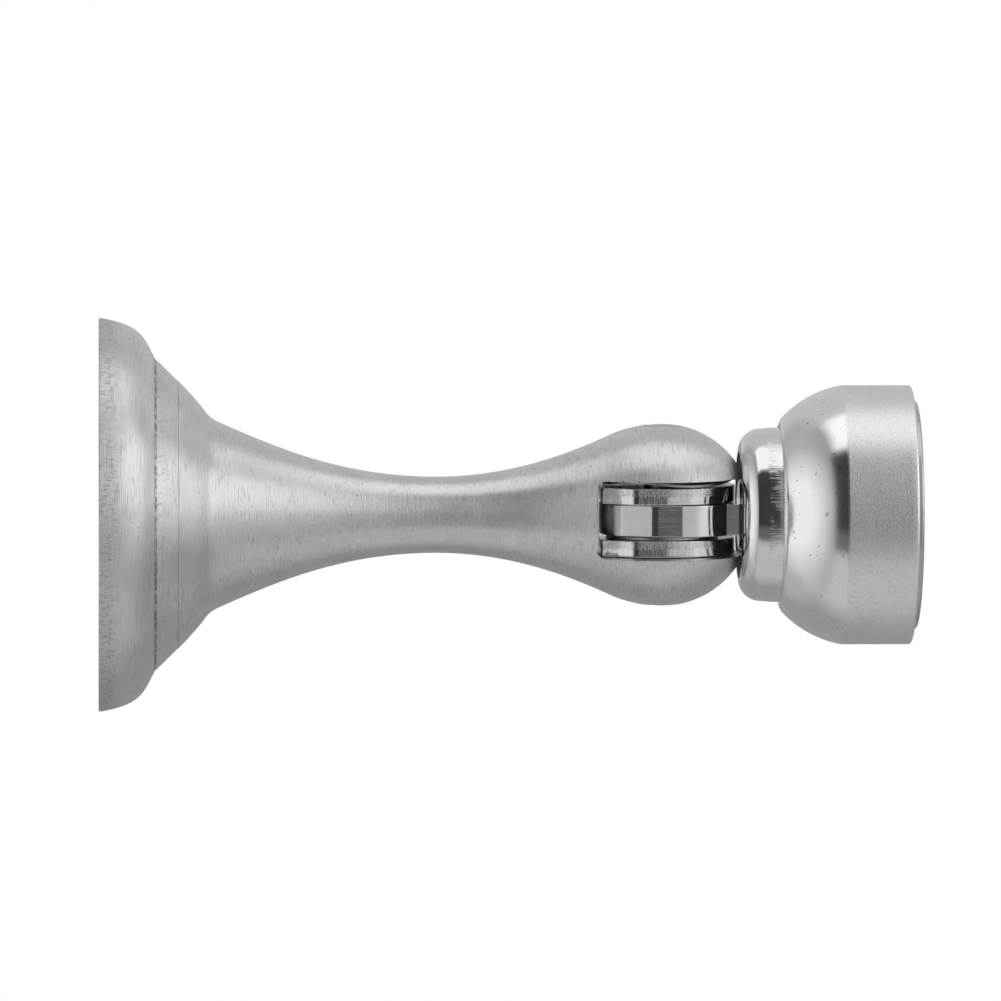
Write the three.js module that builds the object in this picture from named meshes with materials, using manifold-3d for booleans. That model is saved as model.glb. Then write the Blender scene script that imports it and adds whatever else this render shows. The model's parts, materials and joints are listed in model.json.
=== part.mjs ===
// Magnetic floor door holder: a waisted post on a round base, with a magnetic buffer head that
// hinges on a cross pin in the post's slotted ball and slides a little on its collar when hit.
// Millimetres, +Z up, origin on the floor at the centre of the base, head straight up at rest.
import * as THREE from "three";
import { mergeVertices } from "three/addons/utils/BufferGeometryUtils.js";
import Module from "manifold-3d";

const wasm = await Module();
wasm.setup();

// ---------------------------------------------------------------- driving dimensions
const TURNED_SIDES = 44; // sides of the large turned pieces
const SMALL_SIDES = 24; // sides of pins, washers and bores
const FACE_GAP = 0.05; // between stacked faces
const RUNNING_GAP = 0.08; // radial, between a sliding or turning fit

// Base
const BASE_R = 21.3; // at the floor
const BEAD_TOP = { r: 17.6, z: 5.72 }; // where the rim's rounded bead ends
const CONE_FOOT = { r: 16.4, z: 6.62 }; // where the cone starts, past a shallow groove
const FOOT = { r: 14.5, z: 8.6 }; // seam between base flange and post
const SHELL = 1.7; // wall of the hollow base flange
const PLATE = { r: 18.6, thick: 2.2, holes: 3, holeCircleR: 12.5, holeR: 2.3, sinkR: 4.3 };
const STUD = { r: 3, top: 24, collarR: 5, collarThick: 1.6, chamfer: 0.8 }; // M6
const SPIGOT_R = 10.6; // post's spigot, centres the flange

// Post
const RIDGE = { r: 10.6, z: 12.0 }; // sharp turn at the foot of the stem
const WAIST = { r: 4.13, z: 36.5 };
const BALL = { r: 9.87, z: 61 };
const SHOULDER_R = 14; // rounding from stem to ball
const SHOULDER_ANGLE = THREE.MathUtils.degToRad(22.5);
const FLARE_SLOPE = 0.46; // radius gained per height where the upper flare ends
const SLOT = { width: 8.4, depth: 7.2 }; // through slot, its floor this far below the pivot
const BORE_END = 1.5; // post's blind bore runs on this far past the stud

// Joint stack, along X from the slot's -X wall
const LEAF = { r: 6.2, low: -0.75, high: 2 }; // two end arcs, centres below and above the pivot
const SHIELD = { high: 1.7, low: -2.8, footHalf: 5.3, foot: -6.92, corner: 0.5 }; // friction disc
const DISC_THICK = 1.82;
const LEAF_THICK = 3.42;
const THRUST = { r: 6.1, thick: 0.3 };
const WAVE = { r: 6.1, thick: 0.3, height: 0.2, waves: 3, room: 0.85 };
const PIN_R = 2;
const WASHER_PLAY = 0.15; // radial, round a pin or shank

// Head, heights above the floor when it stands in line with the post
const COLLAR = { front: 69.35, lipR: 6.8, round: 2.3, r: 9.45, end: 79.3, boreR: 7.4, floor: 73.4 };
const COLLAR_TAPER = { r: 0.1, z: 3.6 }; // slight draft behind the rounded front
const DISH_R = Math.hypot(COLLAR.front - BALL.z, COLLAR.lipR); // concave seat about the pivot
const NECK_R = 3.9;
const NECK_TOP = 71.55;
const SHANK = { r: 2.5, top: 77.6, chamfer: 0.6 }; // M5
const LOCK_WASHER = { r: 4.5, thick: 0.8 };
const NUT = { acrossFlats: 8, thick: 2.7 };
const CUP = { r: 14.05, mouth: 73.7, kink: 80.3, rim: 88, chamfer: 0.3, chamberR: 11, shelf: 81.6 };
const CUP_SHOULDER = { radius: 11.6, low: 47, high: 11, step: 0.03 }; // arc, in degrees from the radius
const STOP_RING = { z: 75.9, thick: 0.9, r: 10.7, grooveR: 8.75, opening: 2.5 };
const SPRING = { r: 6.3, wireR: 0.55, turns: 4.5 };
const THRUST_PLATE_THICK = 1.5;
const CIRCLIP = { thick: 0.9, innerR: 11.2, r: 13.1, opening: 5 };
const GROOVE_GAP = 0.1; // axial, between a ring and its groove
const POT = { r: 12.4, z: 84.4, floor: 1.5, wall: 1.8, bossR: 4, chamfer: 0.25, pocketGap: 0.12 };
const HEAD_TOP = 88.6;
const MAGNET = { innerR: 4.3, r: 10.3, below: 0.2 };
const SCREW = { r: 2, end: 80.7, headR: 3.7, headTop: 88.15, hex: 2.5, hexDepth: 1.5 }; // M4

// ---------------------------------------------------------------- materials
const finish = (color, roughness, metalness = 1) =>
  new THREE.MeshStandardMaterial({ color, roughness, metalness });
const satinNickel = finish(0xb9b9b7, 0.38);
const pearlNickel = finish(0xc2c2c0, 0.45);
const polishedNickel = finish(0xd2d2d2, 0.08);
const steel = finish(0x8f9193, 0.35);
const springSteel = finish(0x74777a, 0.3);
const zincPlate = finish(0xa7abae, 0.4);
const magnetNickel = finish(0xa9aaab, 0.25);

// ---------------------------------------------------------------- solids
// A closed three.js geometry as a manifold-3d solid.
function solid(geometry) {
  const bare = geometry.clone();
  bare.deleteAttribute("normal");
  bare.deleteAttribute("uv");
  const merged = mergeVertices(bare, 1e-4);
  return new wasm.Manifold(
    new wasm.Mesh({
      numProp: 3,
      vertProperties: new Float32Array(merged.getAttribute("position").array),
      triVerts: new Uint32Array(merged.index.array),
    }),
  );
}

function geometryOf(manifold) {
  const mesh = manifold.getMesh();
  const geometry = new THREE.BufferGeometry();
  geometry.setAttribute("position", new THREE.BufferAttribute(mesh.vertProperties, 3));
  geometry.setIndex(new THREE.BufferAttribute(mesh.triVerts, 1));
  const flat = geometry.toNonIndexed();
  flat.computeVertexNormals();
  return flat;
}

function part(name, manifold, material) {
  const mesh = new THREE.Mesh(geometryOf(manifold), material);
  mesh.name = name;
  return mesh;
}

const at = (r, z) => new THREE.Vector2(r, z);

// A body of revolution about Z. The outline runs counter-clockwise in (radius, height).
function turned(outline, sides = TURNED_SIDES) {
  return solid(new THREE.LatheGeometry(outline, sides).rotateX(Math.PI / 2));
}

const disc = (r, low, high, sides = SMALL_SIDES) =>
  turned([at(0, low), at(r, low), at(r, high), at(0, high)], sides);

const ring = (innerR, r, low, high, sides = SMALL_SIDES) =>
  turned([at(innerR, low), at(r, low), at(r, high), at(innerR, high), at(innerR, low)], sides);

// A solid of revolution turned so that its axis lies along X at the pivot's height.
const onPivot = (manifold) => manifold.rotate([0, 90, 0]).translate([0, 0, BALL.z]);

// A flat outline in (Y, height above the pivot), as a plate across X.
function leaf(shape, lowX, highX, curveSegments = 24) {
  const options = { depth: highX - lowX, bevelEnabled: false, curveSegments };
  const plate = new THREE.ExtrudeGeometry(shape, options);
  const axes = new THREE.Matrix4().makeBasis(
    new THREE.Vector3(0, 1, 0),
    new THREE.Vector3(0, 0, 1),
    new THREE.Vector3(1, 0, 0),
  );
  return solid(plate.applyMatrix4(axes).translate(lowX, 0, BALL.z));
}

// Points on a circular arc in (radius, height), angles in degrees from the radial direction.
function arc(centreR, centreZ, radius, from, to, steps) {
  const points = [];
  for (let i = 0; i <= steps; i++) {
    const angle = THREE.MathUtils.degToRad(from + ((to - from) * i) / steps);
    points.push(at(centreR + radius * Math.cos(angle), centreZ + radius * Math.sin(angle)));
  }
  return points;
}

// ---------------------------------------------------------------- base
function mountingPlate() {
  let plate = disc(PLATE.r, 0, PLATE.thick, TURNED_SIDES);
  const sinkDepth = PLATE.sinkR - PLATE.holeR;
  const hole = turned(
    [
      at(0, -1),
      at(PLATE.holeR, -1),
      at(PLATE.holeR, PLATE.thick - sinkDepth),
      at(PLATE.sinkR, PLATE.thick),
      at(PLATE.sinkR, PLATE.thick + 1),
      at(0, PLATE.thick + 1),
    ],
    SMALL_SIDES,
  );
  for (let i = 0; i < PLATE.holes; i++) {
    const angle = (i * 360) / PLATE.holes + 90;
    plate = plate.subtract(hole.translate([PLATE.holeCircleR, 0, 0]).rotate([0, 0, angle]));
  }
  return plate.subtract(disc(STUD.r + FACE_GAP, -1, PLATE.thick + 1));
}

function mountingStud() {
  const shoulder = PLATE.thick + FACE_GAP;
  return turned(
    [
      at(0, 0.2),
      at(STUD.r, 0.2),
      at(STUD.r, shoulder),
      at(STUD.collarR, shoulder),
      at(STUD.collarR, shoulder + STUD.collarThick),
      at(STUD.r, shoulder + STUD.collarThick),
      at(STUD.r, STUD.top - STUD.chamfer),
      at(STUD.r - STUD.chamfer, STUD.top),
      at(0, STUD.top),
    ],
    SMALL_SIDES,
  );
}

function baseFlange() {
  const bead = new THREE.CubicBezierCurve(
    at(BASE_R, 0.2),
    at(BASE_R - 0.6, 3.7),
    at(19.88, 4.7),
    at(BEAD_TOP.r, BEAD_TOP.z),
  );
  const seat = FOOT.z - FACE_GAP;
  const cavityR = PLATE.r + 0.4;
  return turned([
    at(cavityR, 0),
    at(BASE_R, 0),
    ...bead.getPoints(6),
    at(CONE_FOOT.r, CONE_FOOT.z),
    at(FOOT.r, seat),
    at(SPIGOT_R + RUNNING_GAP, seat),
    at(SPIGOT_R + RUNNING_GAP, seat - SHELL),
    at(FOOT.r - 1.2, seat - SHELL),
    at(cavityR, PLATE.thick + 1),
    at(cavityR, 0),
  ]);
}

// Outline of stem and ball, from the foot's seam up to the ball's top.
function postOutline() {
  const cone = new THREE.CubicBezierCurve(
    at(FOOT.r, FOOT.z),
    at(13.3, 9.75),
    at(11.7, 11.2),
    at(RIDGE.r, RIDGE.z),
  );
  const lowerFlare = new THREE.CubicBezierCurve(
    at(10.3, 12.35),
    at(7.22, 19.35),
    at(WAIST.r, WAIST.z - 10),
    at(WAIST.r, WAIST.z),
  );
  const shoulderStart = at(
    BALL.r - SHOULDER_R * (1 - Math.cos(SHOULDER_ANGLE)),
    BALL.z - SHOULDER_R * Math.sin(SHOULDER_ANGLE),
  );
  const upperFlare = new THREE.CubicBezierCurve(
    at(WAIST.r, WAIST.z),
    at(WAIST.r, WAIST.z + 8.5),
    at(shoulderStart.x - 4 * FLARE_SLOPE, shoulderStart.y - 4),
    shoulderStart,
  );
  const shoulderDegrees = THREE.MathUtils.radToDeg(SHOULDER_ANGLE);
  return [
    ...cone.getPoints(3),
    ...lowerFlare.getPoints(8),
    ...upperFlare.getPoints(8).slice(1),
    ...arc(BALL.r - SHOULDER_R, BALL.z, SHOULDER_R, -shoulderDegrees, 0, 4).slice(1),
    ...arc(0, BALL.z, BALL.r, 0, 90, 10).slice(1, -1),
    at(0, BALL.z + BALL.r),
  ];
}

function post() {
  const spigotEnd = FOOT.z - SHELL;
  const body = turned([
    at(0, spigotEnd),
    at(SPIGOT_R, spigotEnd),
    at(SPIGOT_R, FOOT.z),
    ...postOutline(),
  ]);
  const slotTop = 20;
  const slot = solid(
    new THREE.BoxGeometry(SLOT.width, 4 * BALL.r, slotTop + SLOT.depth).translate(
      0,
      0,
      BALL.z + (slotTop - SLOT.depth) / 2,
    ),
  );
  const pinHole = onPivot(disc(PIN_R + FACE_GAP, -20, 20));
  return body
    .subtract(disc(STUD.r + RUNNING_GAP, 0, STUD.top + BORE_END))
    .subtract(slot)
    .subtract(pinHole);
}

// ---------------------------------------------------------------- joint
const STACK_X = -SLOT.width / 2;
const LEFT_DISC_X = STACK_X + WAVE.room;
const LEAF_X = LEFT_DISC_X + DISC_THICK + FACE_GAP;
const THRUST_X = LEAF_X + LEAF_THICK + FACE_GAP;
const RIGHT_DISC_X = SLOT.width / 2 - FACE_GAP - DISC_THICK;

function pivotPin() {
  const ballPlug = turned(
    [at(0, -BALL.r + 0.05), ...arc(0, 0, BALL.r - 0.05, -80, 80, 16), at(0, BALL.r - 0.05)],
    SMALL_SIDES,
  ).translate([0, 0, BALL.z]);
  return onPivot(disc(PIN_R, -BALL.r, BALL.r)).intersect(ballPlug);
}

// Side view of the tongue: two end arcs joined by short straight sides, and a straight neck.
function tongueShape(neckHeight) {
  const shape = new THREE.Shape();
  const turn = Math.acos(NECK_R / LEAF.r);
  shape.moveTo(-LEAF.r, LEAF.high);
  shape.lineTo(-LEAF.r, LEAF.low);
  shape.absarc(0, LEAF.low, LEAF.r, Math.PI, 2 * Math.PI, false);
  shape.lineTo(LEAF.r, LEAF.high);
  shape.absarc(0, LEAF.high, LEAF.r, 0, turn, false);
  shape.lineTo(NECK_R, neckHeight);
  shape.lineTo(-NECK_R, neckHeight);
  shape.absarc(0, LEAF.high, LEAF.r, Math.PI - turn, Math.PI, false);
  return shape;
}

// Side view of a friction disc: a round head, and sides drawn in to a square foot that rests
// near the slot's floor and keeps the disc from turning.
function shieldShape() {
  const { high, low, footHalf, foot, corner } = SHIELD;
  const shape = new THREE.Shape();
  shape.moveTo(-LEAF.r, high);
  shape.lineTo(-LEAF.r, low);
  shape.lineTo(-footHalf, foot + corner);
  shape.lineTo(-footHalf + corner, foot);
  shape.lineTo(footHalf - corner, foot);
  shape.lineTo(footHalf, foot + corner);
  shape.lineTo(LEAF.r, low);
  shape.absarc(0, high, LEAF.r, 0, Math.PI, false);
  return shape;
}

const pinBore = () => onPivot(disc(PIN_R + RUNNING_GAP, -20, 20));

const frictionDisc = (lowX) =>
  leaf(shieldShape(), lowX, lowX + DISC_THICK, 16).subtract(pinBore());

function waveWasher() {
  const innerR = PIN_R + 2 * WASHER_PLAY;
  const outline = [
    at(innerR, -WAVE.thick / 2),
    at(WAVE.r, -WAVE.thick / 2),
    at(WAVE.r, WAVE.thick / 2),
    at(innerR, WAVE.thick / 2),
    at(innerR, -WAVE.thick / 2),
  ];
  const washer = new THREE.LatheGeometry(outline, SMALL_SIDES).rotateX(Math.PI / 2);
  const position = washer.getAttribute("position");
  for (let i = 0; i < position.count; i++) {
    const angle = Math.atan2(position.getY(i), position.getX(i));
    position.setZ(i, position.getZ(i) + WAVE.height * Math.cos(WAVE.waves * angle));
  }
  return onPivot(solid(washer)).translate([STACK_X + WAVE.room / 2, 0, 0]);
}

const thrustWasher = () =>
  onPivot(ring(PIN_R + WASHER_PLAY, THRUST.r, THRUST_X, THRUST_X + THRUST.thick));

// The middle leaf of the joint, its round neck and its threaded shank.
function swivelTongue() {
  const outline = tongueShape(COLLAR.front - BALL.z + 0.6);
  const plate = leaf(outline, LEAF_X, LEAF_X + LEAF_THICK, 16);
  const neckStart = COLLAR.front - 0.05;
  const neck = turned(
    [
      at(0, neckStart),
      at(NECK_R - 0.5, neckStart),
      at(NECK_R, neckStart + 0.5),
      at(NECK_R, NECK_TOP),
      at(SHANK.r, NECK_TOP),
      at(SHANK.r, SHANK.top - SHANK.chamfer),
      at(SHANK.r - SHANK.chamfer, SHANK.top),
      at(0, SHANK.top),
    ],
    SMALL_SIDES,
  );
  return plate.add(neck).subtract(pinBore());
}

// ---------------------------------------------------------------- head
function collar() {
  const roundR = COLLAR.r - COLLAR_TAPER.r - COLLAR.round;
  const seatR = NECK_R + RUNNING_GAP;
  const degreesAt = (r) => THREE.MathUtils.radToDeg(Math.acos(r / DISH_R));
  return turned([
    ...arc(0, BALL.z, DISH_R, degreesAt(seatR), degreesAt(COLLAR.lipR), 5),
    ...arc(roundR, COLLAR.front + COLLAR.round, COLLAR.round, -90, 0, 5),
    at(COLLAR.r, COLLAR.front + COLLAR_TAPER.z),
    at(COLLAR.r, STOP_RING.z - FACE_GAP),
    at(STOP_RING.grooveR, STOP_RING.z - FACE_GAP),
    at(STOP_RING.grooveR, STOP_RING.z + STOP_RING.thick + FACE_GAP),
    at(COLLAR.r, STOP_RING.z + STOP_RING.thick + FACE_GAP),
    at(COLLAR.r, COLLAR.end),
    at(COLLAR.boreR, COLLAR.end),
    at(COLLAR.boreR, COLLAR.floor),
    at(SHANK.r + FACE_GAP, COLLAR.floor),
    at(SHANK.r + FACE_GAP, NECK_TOP + FACE_GAP),
    at(seatR, NECK_TOP + FACE_GAP),
    at(seatR, BALL.z + Math.sqrt(DISH_R ** 2 - seatR ** 2)),
  ]);
}

const lockWasher = () =>
  ring(
    SHANK.r + WASHER_PLAY,
    LOCK_WASHER.r,
    COLLAR.floor + FACE_GAP,
    COLLAR.floor + FACE_GAP + LOCK_WASHER.thick,
  );

function collarNut() {
  const low = COLLAR.floor + LOCK_WASHER.thick + 2 * FACE_GAP;
  const hexagon = disc(NUT.acrossFlats / Math.sqrt(3), low, low + NUT.thick, 6);
  return hexagon.subtract(disc(SHANK.r + FACE_GAP, low - 1, low + NUT.thick + 1));
}

// A flat ring with a gap in it, as a circlip has.
function openRing(innerR, r, low, thick, gap) {
  const opening = new THREE.BoxGeometry(gap, r * 2, thick * 4).translate(0, r, low);
  return ring(innerR, r, low, low + thick, TURNED_SIDES).subtract(solid(opening));
}

const slideStopRing = () =>
  openRing(
    STOP_RING.grooveR + FACE_GAP,
    STOP_RING.r,
    STOP_RING.z,
    STOP_RING.thick,
    STOP_RING.opening,
  );

class Helix extends THREE.Curve {
  constructor(radius, low, high, turns) {
    super();
    Object.assign(this, { radius, low, high, turns });
  }
  getPoint(t, target = new THREE.Vector3()) {
    const angle = 2 * Math.PI * this.turns * t;
    const height = this.low + (this.high - this.low) * t;
    return target.set(this.radius * Math.cos(angle), this.radius * Math.sin(angle), height);
  }
}

function bufferSpring() {
  const clear = SPRING.wireR + FACE_GAP;
  const path = new Helix(SPRING.r, COLLAR.floor + clear, CUP.shelf - clear, SPRING.turns);
  const wire = new THREE.Shape().absarc(0, 0, SPRING.wireR, 0, 2 * Math.PI, false);
  const options = { extrudePath: path, steps: 72, curveSegments: 3, bevelEnabled: false };
  return solid(new THREE.ExtrudeGeometry(wire, options));
}

function headCup() {
  const { radius, low, high, step } = CUP_SHOULDER;
  const endAngle = THREE.MathUtils.degToRad(high);
  const shoulderR = CUP.r - step - radius * Math.cos(endAngle);
  const shoulderZ = CUP.kink + radius * Math.sin(endAngle);
  const mouthR = COLLAR.r + RUNNING_GAP;
  const grooveLow = CUP.shelf + THRUST_PLATE_THICK + GROOVE_GAP;
  const grooveHigh = grooveLow + CIRCLIP.thick + GROOVE_GAP;
  const pocketR = POT.r + POT.pocketGap;
  return turned([
    at(mouthR, CUP.mouth + 0.2),
    at(mouthR + 0.2, CUP.mouth),
    at(mouthR + 0.5, CUP.mouth),
    ...arc(shoulderR, shoulderZ, radius, -low, -high, 8),
    at(CUP.r, CUP.kink + 0.5),
    at(CUP.r, CUP.rim - CUP.chamfer),
    at(CUP.r - CUP.chamfer, CUP.rim),
    at(pocketR, CUP.rim),
    at(pocketR, grooveHigh),
    at(CIRCLIP.r + FACE_GAP, grooveHigh),
    at(CIRCLIP.r + FACE_GAP, grooveLow),
    at(pocketR, grooveLow),
    at(pocketR, CUP.shelf),
    at(CUP.chamberR, CUP.shelf),
    at(CUP.chamberR, STOP_RING.z - GROOVE_GAP),
    at(mouthR, STOP_RING.z - GROOVE_GAP),
    at(mouthR, CUP.mouth + 0.2),
  ]);
}

function thrustPlate() {
  const low = CUP.shelf + FACE_GAP;
  return ring(SCREW.r + FACE_GAP, POT.r, low, CUP.shelf + THRUST_PLATE_THICK, TURNED_SIDES);
}

function retainingRing() {
  const low = CUP.shelf + THRUST_PLATE_THICK + 1.5 * GROOVE_GAP;
  return openRing(CIRCLIP.innerR, CIRCLIP.r, low, CIRCLIP.thick, CIRCLIP.opening);
}

// Screw-head cone shared by the screw and its seat in the pot's boss.
const coneOutline = (gap) => [
  at(SCREW.r + gap, SCREW.headTop - (SCREW.headR - SCREW.r)),
  at(SCREW.headR + gap, SCREW.headTop),
];

function magnetPot() {
  const wallR = POT.r - POT.wall;
  const floorTop = POT.z + POT.floor;
  return turned([
    at(SCREW.r + FACE_GAP, POT.z),
    at(POT.r, POT.z),
    at(POT.r, HEAD_TOP - POT.chamfer),
    at(POT.r - POT.chamfer, HEAD_TOP),
    at(wallR, HEAD_TOP),
    at(wallR, floorTop),
    at(POT.bossR, floorTop),
    at(POT.bossR, SCREW.headTop),
    ...coneOutline(FACE_GAP).reverse(),
    at(SCREW.r + FACE_GAP, POT.z),
  ]);
}

const ringMagnet = () =>
  ring(
    MAGNET.innerR,
    MAGNET.r,
    POT.z + POT.floor + FACE_GAP,
    HEAD_TOP - MAGNET.below,
    TURNED_SIDES,
  );

function magnetScrew() {
  const tip = 0.5;
  const body = turned(
    [
      at(0, SCREW.end),
      at(SCREW.r - tip, SCREW.end),
      at(SCREW.r, SCREW.end + tip),
      ...coneOutline(0),
      at(0, SCREW.headTop),
    ],
    SMALL_SIDES,
  );
  const socketR = SCREW.hex / Math.sqrt(3);
  return body.subtract(disc(socketR, SCREW.headTop - SCREW.hexDepth, HEAD_TOP, 6));
}

// ---------------------------------------------------------------- assembly
const base = new THREE.Group();
base.add(
  part("mounting_plate", mountingPlate(), zincPlate),
  part("mounting_stud", mountingStud(), steel),
  part("base_flange", baseFlange(), satinNickel),
  part("post", post(), satinNickel),
  part("pivot_pin", pivotPin(), steel),
  part("wave_washer", waveWasher(), springSteel),
  part("friction_disc_left", frictionDisc(LEFT_DISC_X), polishedNickel),
  part("friction_disc_right", frictionDisc(RIGHT_DISC_X), polishedNickel),
  part("thrust_washer", thrustWasher(), springSteel),
);

const head = new THREE.Group();
head.add(
  part("swivel_tongue", swivelTongue(), polishedNickel),
  part("collar", collar(), polishedNickel),
  part("lock_washer", lockWasher(), springSteel),
  part("collar_nut", collarNut(), zincPlate),
  part("slide_stop_ring", slideStopRing(), springSteel),
  part("buffer_spring", bufferSpring(), springSteel),
);

const cup = new THREE.Group();
cup.add(
  part("head_cup", headCup(), pearlNickel),
  part("thrust_plate", thrustPlate(), zincPlate),
  part("retaining_ring", retainingRing(), springSteel),
  part("magnet_pot", magnetPot(), magnetNickel),
  part("ring_magnet", ringMagnet(), magnetNickel),
  part("magnet_screw", magnetScrew(), zincPlate),
);

const doorHolder = new THREE.Group();
doorHolder.add(base, head, cup);
export default doorHolder;
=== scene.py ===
# Looks of the magnetic floor door holder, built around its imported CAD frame.
# The scene is in metres in the part's own frame: +Z up the post, the head in line at rest.
# Shapes are written in millimetres and made metres as their meshes are built.
import json
import math

import bmesh
import bpy
from mathutils import Matrix, Vector

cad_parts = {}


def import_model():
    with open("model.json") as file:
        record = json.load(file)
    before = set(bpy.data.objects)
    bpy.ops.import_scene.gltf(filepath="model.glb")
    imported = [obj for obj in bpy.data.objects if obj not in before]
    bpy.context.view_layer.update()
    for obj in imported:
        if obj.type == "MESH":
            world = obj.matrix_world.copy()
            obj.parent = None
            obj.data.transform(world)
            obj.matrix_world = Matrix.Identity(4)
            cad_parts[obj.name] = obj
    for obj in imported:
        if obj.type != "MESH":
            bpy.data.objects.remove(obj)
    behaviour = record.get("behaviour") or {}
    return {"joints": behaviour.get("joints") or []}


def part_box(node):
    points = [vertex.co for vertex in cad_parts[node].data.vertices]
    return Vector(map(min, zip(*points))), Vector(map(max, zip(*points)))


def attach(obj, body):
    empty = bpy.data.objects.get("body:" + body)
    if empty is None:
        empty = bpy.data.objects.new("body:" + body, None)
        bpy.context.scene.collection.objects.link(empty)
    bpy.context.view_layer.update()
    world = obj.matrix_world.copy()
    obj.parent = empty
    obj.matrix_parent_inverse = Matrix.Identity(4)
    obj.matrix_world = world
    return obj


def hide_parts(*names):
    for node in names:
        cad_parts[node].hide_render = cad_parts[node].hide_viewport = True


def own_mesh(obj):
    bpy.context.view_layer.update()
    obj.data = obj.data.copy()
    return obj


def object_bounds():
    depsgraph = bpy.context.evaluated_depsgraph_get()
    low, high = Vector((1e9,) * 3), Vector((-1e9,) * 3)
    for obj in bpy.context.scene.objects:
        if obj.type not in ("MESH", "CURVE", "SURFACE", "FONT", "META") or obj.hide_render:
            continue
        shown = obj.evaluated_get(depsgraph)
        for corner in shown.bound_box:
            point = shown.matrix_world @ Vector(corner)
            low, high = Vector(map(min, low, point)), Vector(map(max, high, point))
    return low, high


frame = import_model()
CAD_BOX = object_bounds()
MM = 0.001

# ------------------------------------------------------------------ sizes read from the frame


def low_high(node, axis):
    """How far a CAD node reaches along an axis (0, 1, 2), in millimetres."""
    low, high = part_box(node)
    return low[axis] / MM, high[axis] / MM


BASE_R = low_high("base_flange", 0)[1]
SEAM_Z = low_high("base_flange", 2)[1]  # where the flange meets the post
FOOT_R = low_high("post", 0)[1]
SPIGOT_Z = low_high("post", 2)[0]
PIVOT_Z = next(joint["pos_m"][2] for joint in frame["joints"] if joint["type"] == "hinge") / MM
COLLAR_Z, COLLAR_END = low_high("collar", 2)
COLLAR_R = low_high("collar", 0)[1]
CUP_R = low_high("head_cup", 0)[1]
MOUTH_Z, RIM_Z = low_high("head_cup", 2)
POT_R = low_high("magnet_pot", 0)[1]
POT_Z, TOP_Z = low_high("magnet_pot", 2)

SIDES = 288  # facets round the large pieces
BALL_R = 9.87
SLOT_HALF = 4.2
SLOT_FLOOR = PIVOT_Z - 7.2
SPIGOT_R = 10.6
SEAM_GAP = 0.01
WAIST = (4.13, 36.5)
SHOULDER_R = 14.0
SHOULDER_TURN = math.radians(22.5)
PIN_R = 2.0
PIN_HOLE_R = 2.05
LEAF_HOLE_R = 2.08
BORE_R = 3.08
BORE_TOP = 25.5
NECK_R = 3.9
NECK_SEAT_Z = 71.6  # the collar's seat on the neck's shoulder
COLLAR_FLOOR_Z = 73.4  # where the nut clamps the collar
SHANK_R = 2.5
KINK_Z = 80.3  # where the cup's round shoulder meets its straight side

# ------------------------------------------------------------------ mesh making


def piece_from(name, bm):
    """Turns a finished bmesh into a smooth-shaded object of the scene."""
    bmesh.ops.remove_doubles(bm, verts=bm.verts, dist=1e-8)
    bmesh.ops.recalc_face_normals(bm, faces=bm.faces)
    mesh = bpy.data.meshes.new(name)
    bm.to_mesh(mesh)
    bm.free()
    for face in mesh.polygons:
        face.use_smooth = True
    piece = bpy.data.objects.new(name, mesh)
    bpy.context.scene.collection.objects.link(piece)
    return piece


def skin(name, rows, closed):
    """A mesh over rows of points in millimetres; the rows always join end to end,
    and with closed the points of a row do too."""
    bm = bmesh.new()
    grid = [[bm.verts.new(Vector(p) * MM) for p in row] for row in rows]
    width = len(rows[0])
    for i, row in enumerate(grid):
        after = grid[(i + 1) % len(grid)]
        for j in range(width if closed else width - 1):
            k = (j + 1) % width
            bm.faces.new((row[j], row[k], after[k], after[j]))
    return piece_from(name, bm)


def turned(name, outline, sides=SIDES, closed=False):
    """A body of revolution about Z; outline is (radius, height) in millimetres."""
    rows = []
    for i in range(sides):
        angle = 2 * math.pi * i / sides
        c, s = math.cos(angle), math.sin(angle)
        rows.append([(r * c, r * s, z) for r, z in outline])
    return skin(name, rows, closed)


def rod(radius, low, high, sides):
    """A round tool along Z, for cutting bores."""
    return turned("rod", [(0, low), (radius, low), (radius, high), (0, high)], sides)


def washer(name, bore, radius, low, high, fillets, sides=SIDES, step=0.5):
    """A flat ring along Z; fillets are those of its bore and of its outer edge."""
    inner, outer = fillets
    corners = [(bore, low, inner), (radius, low, outer), (radius, high, outer), (bore, high, inner)]
    return turned(name, rounded(corners, step=step), sides, closed=True)


def line(a, b, step=0.6):
    """Points from a up to, but without, b."""
    count = max(1, round(math.dist(a, b) / step))
    run, rise = b[0] - a[0], b[1] - a[1]
    return [(a[0] + run * i / count, a[1] + rise * i / count) for i in range(count)]


def arc(centre, radius, start, end, steps):
    """Points on a circle; angles in degrees, counted from the first axis to the second."""
    points = []
    for i in range(steps + 1):
        angle = math.radians(start + (end - start) * i / steps)
        points.append((centre[0] + radius * math.cos(angle), centre[1] + radius * math.sin(angle)))
    return points


def bezier(p0, p1, p2, p3, steps):
    points = []
    for i in range(steps + 1):
        t = i / steps
        shares = ((1 - t) ** 3, 3 * (1 - t) ** 2 * t, 3 * (1 - t) * t * t, t**3)
        pulls = list(zip(shares, (p0, p1, p2, p3)))
        points.append((sum(w * p[0] for w, p in pulls), sum(w * p[1] for w, p in pulls)))
    return points


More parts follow.
